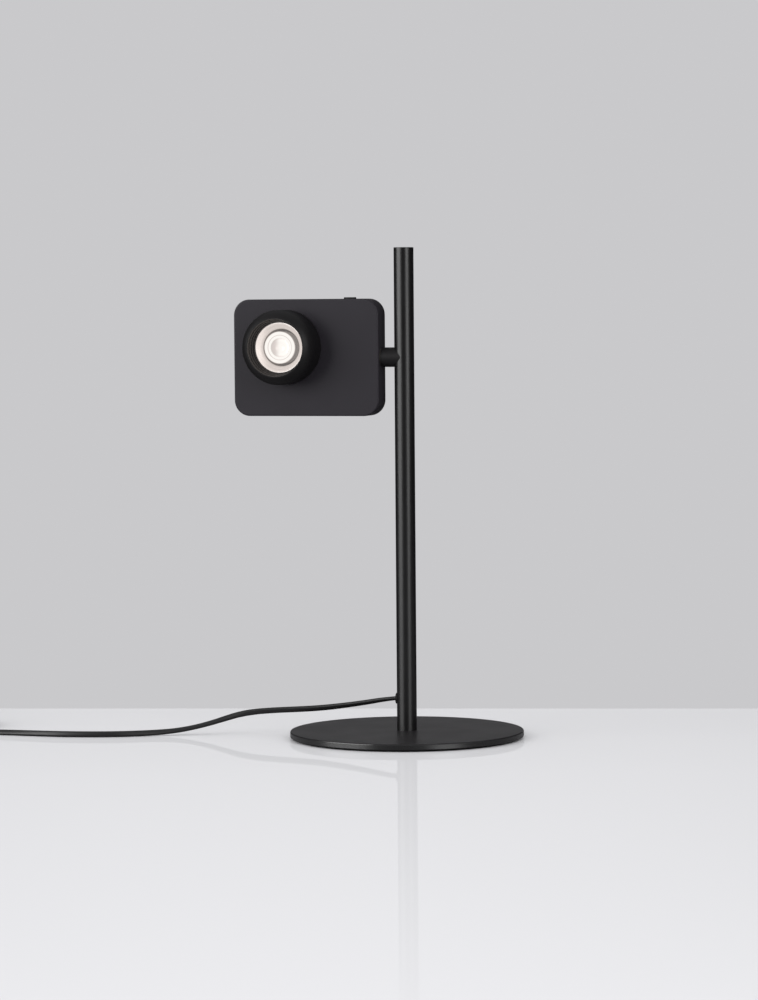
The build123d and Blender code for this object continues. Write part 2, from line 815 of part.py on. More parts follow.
def make_plug_body():
    """Flat two-pin plug with a ribbed strain relief, moulded in one."""
    shoulder = relief_length + plug_shoulder_share * plug_length
    half_outline = [
        (plug_neck_width / 2, relief_length),
        (plug_width / 2, shoulder),
        (plug_width / 2, plug_face),
    ]
    outline = Polyline(*half_outline, *((-x, z) for x, z in reversed(half_outline)), close=True)
    body = extrude(Plane.XZ * make_face(outline), plug_height / 2, both=True)
    body = fillet(body.edges().filter_by(Axis.Y), plug_corner_round)
    body = fillet(body.faces().filter_by(Axis.Y).edges(), plug_edge_round)
    plug = body + turned(
        (0, 0),
        (relief_start_diameter / 2, 0),
        (relief_end_diameter / 2, relief_length),
        (relief_end_diameter / 2, shoulder),
        (0, shoulder),
    )
    pitch = relief_length / (relief_groove_count + 1)
    taper = (relief_end_diameter - relief_start_diameter) / 2 / relief_length
    for groove in range(1, relief_groove_count + 1):
        low = (groove - relief_groove_share / 2) * pitch
        floor = relief_start_diameter / 2 + low * taper - relief_groove_depth
        plug -= ring(relief_end_diameter, floor, low, low + relief_groove_share * pitch)
    plug = plug_plane * plug
    for place in pin_places:
        plug -= place * rod(pin_diameter / 2 + seat_gap, -pin_seat_depth, 0)
    return plug


def make_plug_pins():
    pin = rod(pin_diameter / 2, -pin_seat_depth, pin_length)
    pin = fillet(pin.edges().sort_by(Axis.Z)[-1], pin_tip_round)
    return Compound(children=[place * pin for place in pin_places])


os.makedirs("parts", exist_ok=True)
for make in (
    make_base_disc,
    make_base_pad,
    make_post_screw,
    make_post_foot_plug,
    make_post,
    make_post_cap,
    make_stub_arm,
    make_cord_bushing,
    make_inner_cord,
    make_swivel_nipple,
    make_inner_washer,
    make_spring_washer,
    make_swivel_nut,
    make_head_shell,
    make_back_cover,
    make_cover_screws,
    make_friction_washer,
    make_stop_pin,
    make_spot_barrel,
    make_reflector,
    make_lens_holder,
    make_lens,
    make_led_emitter,
    make_led_board,
    make_heat_sink,
    make_barrel_screws,
    make_led_driver,
    make_driver_screws,
    make_switch_body,
    make_switch_button,
    make_head_wiring,
    make_driver_lead,
    make_led_leads,
    make_cord_free,
    make_cord_coil,
    make_cord_tie,
    make_plug_body,
    make_plug_pins,
):
    export_step(make(), f"parts/{make.__name__.removeprefix('make_')}.step")
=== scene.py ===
# %% [markdown]
# # LED table lamp
# A flat box with a round spot hangs on a short arm beside a thin post, and a round plate keeps the
# post upright. The solids come ready made and stay where they are. This lesson lays the cord, winds
# up the length that the picture doesn't show, gives every piece its finish and lights the scene.

# %% Load the frame
import math

import bmesh
import bpy
from mathutils import Matrix, Vector


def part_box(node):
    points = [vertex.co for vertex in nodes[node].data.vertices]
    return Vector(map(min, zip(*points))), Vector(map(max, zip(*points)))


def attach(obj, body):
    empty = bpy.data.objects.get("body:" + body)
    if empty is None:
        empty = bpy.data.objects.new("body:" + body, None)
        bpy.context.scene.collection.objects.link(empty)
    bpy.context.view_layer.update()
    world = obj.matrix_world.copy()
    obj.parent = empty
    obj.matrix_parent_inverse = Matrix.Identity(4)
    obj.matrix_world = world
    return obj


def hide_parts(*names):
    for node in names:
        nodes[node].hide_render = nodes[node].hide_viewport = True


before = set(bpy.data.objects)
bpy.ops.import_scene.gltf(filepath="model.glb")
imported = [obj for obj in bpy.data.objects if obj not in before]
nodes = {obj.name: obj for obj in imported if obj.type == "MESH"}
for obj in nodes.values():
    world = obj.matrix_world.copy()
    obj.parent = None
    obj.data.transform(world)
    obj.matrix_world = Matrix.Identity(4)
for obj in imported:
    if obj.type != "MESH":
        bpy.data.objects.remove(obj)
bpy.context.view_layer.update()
printed_digits = 4


def short(values):
    """Numbers with few digits, for printing."""
    return tuple(round(value, printed_digits) for value in values)


# %% [markdown]
# ## Camera
# A camera can be pointed with a Track To constraint, but then its roll is lost. Here the place is
# given by a distance, a height and a turn about the post, and the three axes of the picture are
# worked out from the pan, the pitch and the roll, so each of them can be read and changed. The focal
# length is known in pixels. Blender wants it in millimetres on a sensor, whose width counts along
# the picture's longer side.

# %% Axes of the picture
camera_distance = 2.8092
camera_height = 0.3492
camera_turn = math.radians(15.5)
camera_pan = math.radians(0.433)
camera_pitch = math.radians(3.19)
camera_roll = math.radians(0.45)

up = Vector((0, 0, 1))
ahead = Vector((-math.sin(camera_turn), math.cos(camera_turn), 0))
right = Vector((math.cos(camera_turn), math.sin(camera_turn), 0))
camera_place = camera_height * up - camera_distance * ahead
panned_ahead = math.cos(camera_pan) * ahead - math.sin(camera_pan) * right
panned_right = math.cos(camera_pan) * right + math.sin(camera_pan) * ahead
look = math.cos(camera_pitch) * panned_ahead - math.sin(camera_pitch) * up
upright = math.cos(camera_pitch) * up + math.sin(camera_pitch) * panned_ahead
picture_right = math.cos(camera_roll) * panned_right - math.sin(camera_roll) * upright
picture_up = math.cos(camera_roll) * upright + math.sin(camera_roll) * panned_right
print("camera at", short(camera_place), "looks along", short(look))

# %% Camera
picture_width = 758
picture_height = 1000
focal_length_px = 3490.0
sensor_mm = 36.0


def put_in_scene(name, data):
    """A new object of the scene."""
    piece = bpy.data.objects.new(name, data)
    bpy.context.scene.collection.objects.link(piece)
    return piece


camera = put_in_scene("camera", bpy.data.cameras.new("camera"))
camera.data.sensor_width = sensor_mm
camera.data.lens = focal_length_px * sensor_mm / picture_height
axes = Matrix((picture_right, picture_up, -look)).transposed()
camera.matrix_world = Matrix.Translation(camera_place) @ axes.to_4x4()
bpy.context.scene.camera = camera
print("lens", short([camera.data.lens]), "mm")

# %% [markdown]
# ## The cord's route
# The lead is a flat twin cord. It comes out of the bush almost flat, turns on edge as it sags and
# over as it comes down, and leans on its edge where it lies on the table. A curve with a bevel
# object can do this: the route is the spline and each point's tilt is the twist. A NURBS spline is
# used, because it rounds the route's corners by itself. Each row is a place in metres and a twist in
# degrees, where 0 and 180 lie flat and 90 stands on edge.

# %% Free run of the cord
cord_run = [
    ((-0.0087, 0.0, 0.0318), 14),
    ((-0.0185, 0.0, 0.0307), 24),
    ((-0.0330, -0.0003, 0.0280), 38),
    ((-0.0520, -0.0008, 0.0250), 54),
    ((-0.0725, -0.0016, 0.0224), 68),
    ((-0.0920, -0.0032, 0.0211), 72),
    ((-0.1110, -0.0052, 0.0201), 72),
    ((-0.1270, -0.0076, 0.0188), 84),
    ((-0.1395, -0.0102, 0.0166), 108),
    ((-0.1510, -0.0129, 0.0130), 132),
    ((-0.1620, -0.0164, 0.0095), 150),
    ((-0.1740, -0.0208, 0.0064), 158),
    ((-0.1870, -0.0262, 0.0040), 150),
    ((-0.2010, -0.0324, 0.0028), 132),
    ((-0.2170, -0.0415, 0.0025), 112),
    ((-0.2360, -0.0503, 0.0025), 102),
    ((-0.2570, -0.0552, 0.0025), 104),
    ((-0.2790, -0.0578, 0.0025), 107),
    ((-0.3020, -0.0566, 0.0024), 113),
    ((-0.3260, -0.0556, 0.0023), 130),
    ((-0.3520, -0.0551, 0.0022), 140),
    ((-0.3760, -0.0556, 0.0023), 128),
    ((-0.3931, -0.0556, 0.0026), 108),
]
print("free run", len(cord_run), "points")

# %% [markdown]
# ## The coil
# The rest of the cord is wound into two layers of half turns, inwards below and outwards above. A
# spiral formula would do for one layer, but half turns of shrinking radius also lead from one layer
# to the other, as hands wind them. The points come from a loop, eight to a half turn. A flat cord
# bends only across its thin side, so in the coil it stands almost on edge, and it rises a little
# where the tie passes under it.

# %% Points of a half turn
coil_centre = Vector((-0.398, -0.01665))
points_per_half_turn = 8
tie_place = Vector((0.0281, 0.00275))
tie_lift = 0.0007
tie_reach = 0.012
coil_twist = 100
twist_wander = 9
waves_per_turn = 2
wander_per_metre = 400.0


def coil_point(x, y, height):
    """A place on the coil, given from its centre, and a twist that wanders a little."""
    near_tie = math.exp(-(((Vector((x, y)) - tie_place).length / tie_reach) ** 2))
    phase = waves_per_turn * math.atan2(y, x) + wander_per_metre * height
    place = (coil_centre.x + x, coil_centre.y + y, height + tie_lift * near_tie)
    return place, coil_twist + twist_wander * math.sin(phase)


def half_turn(radius, y, side, low, high):
    """Points of a half turn that starts at x = 0, and the y where it ends."""
    centre_y = y - side * radius
    points = []
    for index in range(points_per_half_turn):
        angle = math.pi * index / points_per_half_turn
        height = low + (high - low) * index / points_per_half_turn
        x = side * radius * math.sin(angle)
        points.append(coil_point(x, centre_y + side * radius * math.cos(angle), height))
    return points, centre_y - side * radius


print("half turns have", points_per_half_turn, "points")

# %% Coil of the put-away length
coil_outer_radius = 0.03895
coil_inner_radius = 0.0197
coil_step = 0.00275
coil_half_turns = 7
coil_low = 0.0025
layer_height = 0.0051

coil_high = coil_low + layer_height
inward = [coil_outer_radius - turn * coil_step for turn in range(coil_half_turns)]
turns = [(radius, coil_low, coil_low) for radius in inward]
turns += [(coil_inner_radius, coil_low, coil_high)]
turns += [(radius, coil_high, coil_high) for radius in inward[:0:-1]]
coil_run = []
side = -1
turn_y = -coil_outer_radius
for radius, low, high in turns:
    points, turn_y = half_turn(radius, turn_y, side, low, high)
    coil_run += points
    side = -side
last_points, _ = half_turn(coil_outer_radius, turn_y, side, coil_high, coil_high)
coil_run += last_points[: points_per_half_turn // 2]
print("coil", len(coil_run), "points in", len(turns), "half turns, last y", short([turn_y]))

# %% [markdown]
# ## Tail into the plug
# The cord leaves the coil's upper layer, comes down to the plug's axis and turns flat again, as the
# plug's neck takes it. The stretch is straight, so one share from 0 to 1 sets both the height and
# the twist, and no further point has to be chosen by hand.

# %% Tail into the plug
plug_axis = 0.0069
tail_steps = (0.0, 0.007, 0.014, 0.021, 0.029)
flat_twist = 180

tail_x = coil_centre.x - coil_outer_radius
tail_y = coil_centre.y + turn_y + coil_outer_radius
tail_run = []
for step in tail_steps:
    share = step / tail_steps[-1]
    height = coil_high + (plug_axis - coil_high) * share
    twist = coil_twist + (flat_twist - coil_twist) * share
    tail_run.append(((tail_x, tail_y + step, height), twist))
print("tail ends at", short(tail_run[-1][0]))

# %% [markdown]
# ## The cord as one curve
# The run, the coil and the tail are control points of one open spline. The order is set after the
# points, because a spline without points keeps a lower order. The profile is a closed curve of its
# own: two half circles joined by short flats, which is the section of such a cord. It is drawn in
# millimetres and scaled by the points' radius, because a curve's box counts that radius.

# %% Curves for a route and a profile
millimetre = 0.001
route_order = 3
arc_points = 7


def nurbs_line(name, route):
    """A 3D curve of one open NURBS spline, from rows of place and twist."""
    curve = bpy.data.curves.new(name, "CURVE")
    curve.dimensions = "3D"
    curve.twist_mode = "Z_UP"
    spline = curve.splines.new("NURBS")
    spline.points.add(len(route) - 1)
    for point, (place, twist) in zip(spline.points, route):
        point.co = (*place, 1)
        point.tilt = math.radians(twist)
        point.radius = millimetre
    spline.order_u = route_order
    spline.use_endpoint_u = True
    return put_in_scene(name, curve)


def flat_profile(name, width, thickness):
    """Closed outline of a flat cord, in millimetres. It only lends its shape, so it isn't rendered."""
    width /= millimetre
    thickness /= millimetre
    curve = bpy.data.curves.new(name, "CURVE")
    curve.dimensions = "2D"
    corners = []
    for end in (1, -1):
        for index in range(arc_points):
            angle = math.pi * index / (arc_points - 1) - math.pi / 2
            x = (width - thickness) / 2 + thickness / 2 * math.cos(angle)
            corners.append((end * x, end * thickness / 2 * math.sin(angle), 0, 1))
    spline = curve.splines.new("POLY")
    spline.points.add(len(corners) - 1)
    for point, corner in zip(spline.points, corners):
        point.co = corner
    spline.use_cyclic_u = True
    profile = put_in_scene(name, curve)
    profile.hide_render = True
    profile.hide_viewport = True
    return profile


print("a profile has", 2 * arc_points, "points")

# %% Cord
cord_width = 4.9 * millimetre
cord_thickness = 3.0 * millimetre
steps_per_point = 6

cord = nurbs_line("cord", cord_run + coil_run + tail_run)
cord.data.bevel_mode = "OBJECT"
cord.data.bevel_object = flat_profile("cord_profile", cord_width, cord_thickness)
cord.data.use_fill_caps = True
cord.data.resolution_u = steps_per_point
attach(cord, "stand")
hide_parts("cord_free", "cord_coil")
print("cord", len(cord.data.splines[0].points), "control points")

# %% [markdown]
# ## Tie round the coil
# A hook-and-loop strap holds the coil. It could be a bent plane with a Solidify modifier, but then
# its end would have no round. It is built as rings of eight points along a rounded box, which a
# superellipse gives in one formula. The path goes on past its start, one thickness further out, so
# the strap overlaps itself as a real one does, and the last rings narrow to a round end.

# %% Path of the tie
strap_thickness = 0.6 * millimetre
strap_slack = 1.0 * millimetre
strap_squareness = 4.5
strap_start = math.radians(35)
lift_angle = math.radians(18)
overlap_room = 1.5 * strap_thickness

tie_low, tie_high = (Vector(corner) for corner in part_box("cord_tie"))
tie_half_width = (tie_high.x - tie_low.x) / 2 - overlap_room
tie_half_height = (tie_high.z - tie_low.z - strap_slack) / 2 - strap_thickness
tie_centre = (tie_low + tie_high) / 2
tie_centre.z = tie_low.z + strap_thickness / 2 + tie_half_height


def rounded(value):
    """Sine or cosine pushed outwards, which makes a circle into a rounded box."""
    return math.copysign(abs(value) ** (2 / strap_squareness), value)


def past_start(angle):
    """How far the strap has gone on past its own start, after one turn."""
    return angle - strap_start - 2 * math.pi


def strap_path(angle):
    """The middle of the strap at an angle round the coil, and the direction that faces out there."""
    x = rounded(math.cos(angle))
    z = rounded(math.sin(angle))
    steepness = strap_squareness - 1
    out_x = math.copysign(abs(x) ** steepness, x) / tie_half_width
    out_z = math.copysign(abs(z) ** steepness, z) / tie_half_height
    out = Vector((out_x, 0, out_z)).normalized()
    lift = min(max(1 + past_start(angle) / lift_angle, 0), 1)
    middle = tie_centre + Vector((tie_half_width * x, 0, tie_half_height * z))
    return middle + lift * strap_thickness * out, out


print("tie from", short(tie_low), "to", short(tie_high))

# %% Tie
strap_width = 8.0 * millimetre
strap_chamfer = 0.15 * millimetre
strap_samples = 96
strap_overlap = math.radians(95)
tail_round_angle = math.radians(16)
tip_share_squared = 0.02


def strap_ring(angle):
    """Eight corners of the strap's section at an angle round the coil."""
    middle, out = strap_path(angle)
    to_end = (strap_overlap - past_start(angle)) / tail_round_angle
    narrowing = math.sqrt(max(1 - (1 - min(to_end, 1)) ** 2, tip_share_squared))
    half = strap_width / 2 * narrowing
    thin = strap_thickness / 2
    section = [(half - strap_chamfer, thin), (half, thin - strap_chamfer)]
    section += [(across, -height) for across, height in reversed(section)]
    section += [(-across, height) for across, height in reversed(section)]
    return [middle + Vector((0, across, 0)) + height * out for across, height in section]


strap_mesh = bmesh.new()
strap_rings = []
for index in range(strap_samples + 1):
    angle = strap_start + (2 * math.pi + strap_overlap) * index / strap_samples
    strap_rings.append([strap_mesh.verts.new(corner) for corner in strap_ring(angle)])
for ring, following in zip(strap_rings, strap_rings[1:]):
    for index in range(len(ring)):
        before = index - 1
        strap_mesh.faces.new((ring[before], ring[index], following[index], following[before]))
strap_mesh.faces.new(strap_rings[0])
strap_mesh.faces.new(reversed(strap_rings[-1]))
bmesh.ops.recalc_face_normals(strap_mesh, faces=strap_mesh.faces)
strap_data = bpy.data.meshes.new("tie_strap")
strap_mesh.to_mesh(strap_data)
strap_mesh.free()
strap = put_in_scene("tie_strap", strap_data)
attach(strap, "stand")
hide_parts("cord_tie")
print("tie strap", len(strap_data.vertices), "points")

# %% [markdown]
# ## Shader sums
# A finish is easier to read as a formula than as a heap of nodes. One small class wraps a socket, so
# that `1 - mask` adds a Math node. A graph adds every other node: its settings come first, because
# they decide which sockets there are, and then the sockets get a value or a link. A Mix node has a
# set of sockets for each kind of data under the same names, so its colours are found by number.

# %% Sums of sockets
class Signal:
    """A socket that can be added, subtracted and multiplied."""

    def __init__(self, graph, socket):
        self.graph = graph
        self.socket = socket

    def maths(self, operation, first, second):
        return self.graph.node("ShaderNodeMath", {"operation": operation}, {0: first, 1: second})

    def __add__(self, other):
        return self.maths("ADD", self, other)

    def __radd__(self, other):
        return self.maths("ADD", other, self)

    def __sub__(self, other):
        return self.maths("SUBTRACT", self, other)

    def __rsub__(self, other):
        return self.maths("SUBTRACT", other, self)

    def __mul__(self, other):
        return self.maths("MULTIPLY", self, other)

    def __rmul__(self, other):
        return self.maths("MULTIPLY", other, self)


print("sockets add, subtract and multiply")

# %% Graph of nodes
mix_share, mix_first, mix_second = 0, 6, 7
mix_result = 2


class Graph:
    """A node tree that is filled one node at a time."""

    def __init__(self, tree):
        self.tree = tree

    def feed(self, socket, value):
        if isinstance(value, Signal):
            self.tree.links.new(value.socket, socket)
        else:
            socket.default_value = value

    def node(self, kind, settings=None, inputs=None, output=0):
        made = self.tree.nodes.new(kind)
        for name, value in (settings or {}).items():
            if name == "stops":
                elements = made.color_ramp.elements
                while len(elements) < len(value):
                    elements.new(1.0)
                for element, (position, colour) in zip(elements, value):
                    element.position = position
                    element.color = (*colour, 1)
            else:
                setattr(made, name, value)
        for name, value in (inputs or {}).items():
            self.feed(made.inputs[name], value)
        return Signal(self, made.outputs[output])

    def blend(self, share, first, second):
        """Mix of two colours."""
        first = first if isinstance(first, Signal) else (*first, 1)
        second = second if isinstance(second, Signal) else (*second, 1)
        inputs = {mix_share: share, mix_first: first, mix_second: second}
        return self.node("ShaderNodeMix", {"data_type": "RGBA"}, inputs, mix_result)

    def between(self, value, low, high):
        """0 up to the low end, 1 from the high end on, and a smooth rise from one to the other."""
        inputs = {"Value": value, "From Min": low, "From Max": high}
        return self.node("ShaderNodeMapRange", {"interpolation_type": "SMOOTHSTEP"}, inputs)

    def vector_maths(self, operation, first, second=(0, 0, 0), output="Vector"):
        inputs = {0: first, 1: second}
        return self.node("ShaderNodeVectorMath", {"operation": operation}, inputs, output)

    def part(self, vector, axis):
        """One of a vector's three numbers."""
        return self.node("ShaderNodeSeparateXYZ", inputs={"Vector": vector}, output=axis)


print("a graph takes nodes by their type")

# %% [markdown]
# ## Finishes
# Each finish is one Principled shader. Numbers that are the same all over are set on its sockets,
# and what changes over the surface is linked. Patterns are placed by object coordinates, which are
# metres here, so a pattern's scale is simply one over its size in metres. Most of the lamp is paint
# or moulded plastic, which differ only in numbers, so one function makes both.

# %% Finish
class Finish(Graph):
    """A material with one Principled shader."""

    def __init__(self, name, **constants):
        self.material = bpy.data.materials.new(name)
        self.material.use_nodes = True
        super().__init__(self.material.node_tree)
        self.shader = self.tree.nodes["Principled BSDF"]
        for socket, value in constants.items():
            self.shader.inputs[socket.replace("_", " ")].default_value = value
        self.place = self.node("ShaderNodeTexCoord", output="Object")

    def vary(self, **signals):
        for socket, signal in signals.items():
            self.feed(self.shader.inputs[socket.replace("_", " ")], signal)
        return self

    def noise(self, size, detail=2.0):
        """Cloudy pattern from 0 to 1 whose spots have that size, in millimetres."""
        inputs = {"Vector": self.place, "Scale": 1 / (size * millimetre), "Detail": detail}
        return self.node("ShaderNodeTexNoise", inputs=inputs)

    def bump(self, height, depth):
        """Dents of that depth, in millimetres, where the height falls from 1 to 0."""
        inputs = {"Strength": 1.0, "Distance": depth * millimetre, "Height": height}
        return self.vary(Normal=self.node("ShaderNodeBump", inputs=inputs))

    def dress(self, *names):
        for name in names:
            piece = nodes.get(name) or bpy.data.objects[name]
            piece.data.materials.clear()
            piece.data.materials.append(self.material)
        print(self.material.name, "on", *names)


print("a finish has one shader")

# %% Paint and moulded plastic
cloud_size = 30.0
cloud_share = 0.6
cloud_gloss = 0.08
grain_gloss = 0.06
grain_detail = 3.0


def coated(name, dark, light, roughness, grain, dent, **constants):
    """Fine grain and a faint cloud in colour and gloss. Grain and dent are in millimetres."""
    finish = Finish(name, **constants)
    cloud_mask = finish.noise(cloud_size)
    grain_mask = finish.noise(grain, grain_detail)
    shade = cloud_share * cloud_mask + (1 - cloud_share) * grain_mask
    finish.colour = finish.blend(shade, dark, light)
    finish.vary(
        Base_Color=finish.colour,
        Roughness=roughness + cloud_gloss * cloud_mask + grain_gloss * grain_mask,
    )
    return finish.bump(grain_mask, dent)


print("clouds of", cloud_size, "mm")

# %% [markdown]
# ## Paint on the post and the arm
# The post and its cap are steel under a smooth satin coat of black. Two soft lamps show in it as
# long stripes with soft edges, so the coat reflects well and is only a little rough. The stripes
# come from the lamps alone: nothing is painted on the tube. The short arm has a duller coat.

# %% Post paint
post_paint = coated(
    "post_paint", dark=(0.0022, 0.0020, 0.0023), light=(0.0038, 0.0035, 0.0039),
    roughness=0.26, grain=0.35, dent=0.003, Specular_IOR_Level=0.70,
)
post_paint.dress("post", "post_cap")
arm_paint = coated(
    "arm_paint", dark=(0.0060, 0.0055, 0.0061), light=(0.0094, 0.0086, 0.0096),
    roughness=0.42, grain=0.35, dent=0.006, Specular_IOR_Level=0.26,
)
arm_paint.dress("stub_arm")

# %% [markdown]
# ## Paint on the base
# The plate's top is satin and mirrors the backdrop and the post softly. Its turned edge is glossier
# and catches the lamps, and its colour is blacker as painted shade. Two materials would need the mesh
# to be cut, so one material looks at the way that the surface faces: the steeper it stands, the more
# painted shade darkens it, and the more clear coat it has.

# %% Base paint
edge_coat = 0.9
# Painted shade: the steep edge gets a blacker colour than the top.
edge_painted_shade = (0.0030, 0.0028, 0.0031)
base_paint = coated(
    "base_paint", dark=(0.0118, 0.0108, 0.0119), light=(0.0160, 0.0148, 0.0162),
    roughness=0.34, grain=0.30, dent=0.006, Specular_IOR_Level=0.25,
    Coat_Roughness=0.26, Coat_IOR=1.78,
)
facing = base_paint.node("ShaderNodeTexCoord", output="Normal")
facing_up = base_paint.part(facing, "Z")
edge = 1 - facing_up * facing_up
base_paint.vary(
    Base_Color=base_paint.blend(edge, base_paint.colour, edge_painted_shade),
    Coat_Weight=edge_coat * edge,
)
base_paint.dress("base_disc")

# %% [markdown]
# ## Paint on the head
# The box is a shallow shell with a fine powder coat, a little lighter and cooler than the steel. The
# snout could share that paint, but it is much blacker: its dull coat keeps the glare cone dark
# inside, so it has a finish of its own.

# %% Head paint
shell_paint = coated(
    "shell_paint", dark=(0.0188, 0.0167, 0.0212), light=(0.0254, 0.0227, 0.0285),
    roughness=0.36, grain=0.25, dent=0.004, Specular_IOR_Level=0.24,
)
shell_paint.dress("head_shell", "back_cover")
snout_paint = coated(
    "snout_paint", dark=(0.0042, 0.0037, 0.0042), light=(0.0066, 0.0059, 0.0066),
    roughness=0.42, grain=0.25, dent=0.004, Specular_IOR_Level=0.31,
)
snout_paint.dress("spot_barrel")

# %% [markdown]
# ## Rubber and foam
# The cord's jacket is smooth soft plastic with a soft shine along its edges. The bush is dull
# rubber, and the pad under the base is foam with open pores, so its dents are the deepest.

# %% Rubber and foam
jacket = coated(
    "cord_jacket", dark=(0.0048, 0.0046, 0.0050), light=(0.0080, 0.0077, 0.0083),
    roughness=0.34, grain=0.5, dent=0.004, Specular_IOR_Level=0.75,
)
jacket.dress("cord", "inner_cord")
rubber = coated(
    "soft_rubber", dark=(0.005, 0.005, 0.005), light=(0.009, 0.009, 0.009),
    roughness=0.6, grain=0.3, dent=0.010, Specular_IOR_Level=0.3,
)
rubber.dress("cord_bushing")
foam = coated(
    "foam", dark=(0.008, 0.008, 0.008), light=(0.016, 0.016, 0.017),
    roughness=0.85, grain=0.6, dent=0.080, Specular_IOR_Level=0.15,
)
foam.dress("base_pad")

# %% [markdown]
# ## Moulded plastic
# The button has the dull texture of a spark-eroded mould and the plug a finer one. Inside the head,
# the switch, the driver, the board and the wires have their usual colours, though a closed box
# hides them.

# %% Button and plug
button_plastic = coated(
    "button_plastic", dark=(0.007, 0.007, 0.007), light=(0.012, 0.012, 0.012),
    roughness=0.5, grain=0.2, dent=0.006, Specular_IOR_Level=0.3,
)
button_plastic.dress("switch_button")
plug_plastic = coated(
    "plug_plastic", dark=(0.012, 0.012, 0.013), light=(0.020, 0.020, 0.021),
    roughness=0.36, grain=0.4, dent=0.006, Specular_IOR_Level=0.45,
)
plug_plastic.dress("plug_body")

# %% Plastic inside the head
switch_plastic = coated(
    "switch_plastic", dark=(0.030, 0.030, 0.031), light=(0.045, 0.045, 0.046),
    roughness=0.5, grain=0.3, dent=0.006,
)
switch_plastic.dress("switch_body")
driver_plastic = coated(
    "driver_plastic", dark=(0.62, 0.62, 0.60), light=(0.72, 0.72, 0.70),
    roughness=0.45, grain=0.4, dent=0.006,
)
driver_plastic.dress("led_driver")
board_mask = coated(
    "board_mask", dark=(0.18, 0.18, 0.18), light=(0.23, 0.23, 0.23),
    roughness=0.3, grain=0.5, dent=0.003,
)
board_mask.dress("led_board")
wire_jacket = coated(
    "wire_jacket", dark=(0.040, 0.040, 0.042), light=(0.055, 0.055, 0.057),
    roughness=0.4, grain=0.4, dent=0.004,
)
wire_jacket.dress("head_wiring", "driver_lead", "led_leads")

# %% [markdown]
# ## Fibre and fabric
# The washer between the arm and the box is pressed fibre. The strap is woven: a fine grid of two
# waves gives the threads, and noise roughens it into the nap of a hook-and-loop tape. That sum takes
# the place of the plain grain in the strap's dents.

# %% Fibre and fabric
fibre = coated(
    "pressed_fibre", dark=(0.035, 0.030, 0.026), light=(0.065, 0.058, 0.050),
    roughness=0.75, grain=0.4, dent=0.020,
)
fibre.dress("friction_washer")
thread_scale = 0.16 / millimetre
thread_dent = 0.05
nap_size = 0.35
nap_share = 0.5
strap_fabric = coated(
    "strap_fabric", dark=(0.014, 0.014, 0.014), light=(0.036, 0.036, 0.036),
    roughness=0.8, grain=nap_size, dent=thread_dent, Specular_IOR_Level=0.15,
)
threads = [
    strap_fabric.node(
        "ShaderNodeTexWave", {"bands_direction": axis},
        {"Vector": strap_fabric.place, "Scale": thread_scale}, "Fac",
    )
    for axis in ("X", "Y")
]
weave = threads[0] * threads[1]
strap_fabric.bump(nap_share * strap_fabric.noise(nap_size) + (1 - nap_share) * weave, thread_dent)
strap_fabric.dress("tie_strap")

# %% [markdown]
# ## Metal
# Bare metal has Metallic 1, and its base colour is the colour of its mirror. Screws, washers and
# nuts share one zinc plate. The cover's screws are blackened, so they are only partly metal.

# %% Metal
zinc = coated(
    "zinc_plate", dark=(0.50, 0.50, 0.52), light=(0.64, 0.64, 0.66),
    roughness=0.28, grain=0.5, dent=0.004, Metallic=1.0,
)
zinc.dress(
    "post_screw", "post_foot_plug", "swivel_nipple", "inner_washer", "spring_washer",
    "swivel_nut", "stop_pin", "barrel_screws", "driver_screws",
)
blackened = coated(
    "blackened_steel", dark=(0.020, 0.020, 0.021), light=(0.035, 0.035, 0.036),
    roughness=0.35, grain=0.4, dent=0.004, Metallic=0.6,
)
blackened.dress("cover_screws")
aluminium = coated(
    "bare_aluminium", dark=(0.58, 0.59, 0.60), light=(0.70, 0.71, 0.72),
    roughness=0.35, grain=0.6, dent=0.006, Metallic=1.0,
)
aluminium.dress("heat_sink")

# %% [markdown]
# ## Plug pins
# The pins wear plastic sleeves on the half by the plug. A sleeve could be a mesh of its own, but it
# is flush with the pin, so a step along the pins turns from one finish to the other.

# %% Plug pins
pin_seat = 8.0 * millimetre
sleeve_length = 10.0 * millimetre
sleeve_step = 0.1 * millimetre
sleeve_black = (0.014, 0.014, 0.015)
sleeve_roughness = 0.45
nickel_bright = (0.70, 0.68, 0.62)
nickel_gloss = 0.25
nickel_grain = 0.8
sleeve_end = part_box("plug_pins")[0][1] + pin_seat + sleeve_length
nickel = Finish("sleeved_nickel")
bare = nickel.between(nickel.part(nickel.place, "Y"), sleeve_end, sleeve_end + sleeve_step)
grain_mask = nickel.noise(nickel_grain)
nickel.vary(
    Base_Color=nickel.blend(bare, sleeve_black, nickel_bright),
    Metallic=bare,
    Roughness=sleeve_roughness + grain_gloss * grain_mask - nickel_gloss * bare,
)
nickel.dress("plug_pins")

# %% [markdown]
# ## Rings of light
# The light is on, and the lens and the silver ring show it as bright rings about the spot's axis.
# Glass with a light path of its own would need many samples, so both glow by themselves: a ramp over
# the distance from the axis gives the colour. On the ring this glow is a painted reflection. A row of
# levels is a radius in millimetres and a level. Where one side is painted brighter than the other,
# there are two ramps and a blend across the axis.

# %% Rings of light
lens_low, lens_high = (Vector(corner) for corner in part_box("lens"))
spot_axis = (lens_low + lens_high) / 2
off_axis = (1, 0, 1)
glow_tint = Vector((1.0, 0.90, 0.85))
glow_white = Vector((1.0, 0.965, 0.915))
white_level = 0.9


def warm(level):
    """A level of the glow. The brightest is nearly white, and the rest is a little pink."""
    return tuple(level * (glow_white if level > white_level else glow_tint))


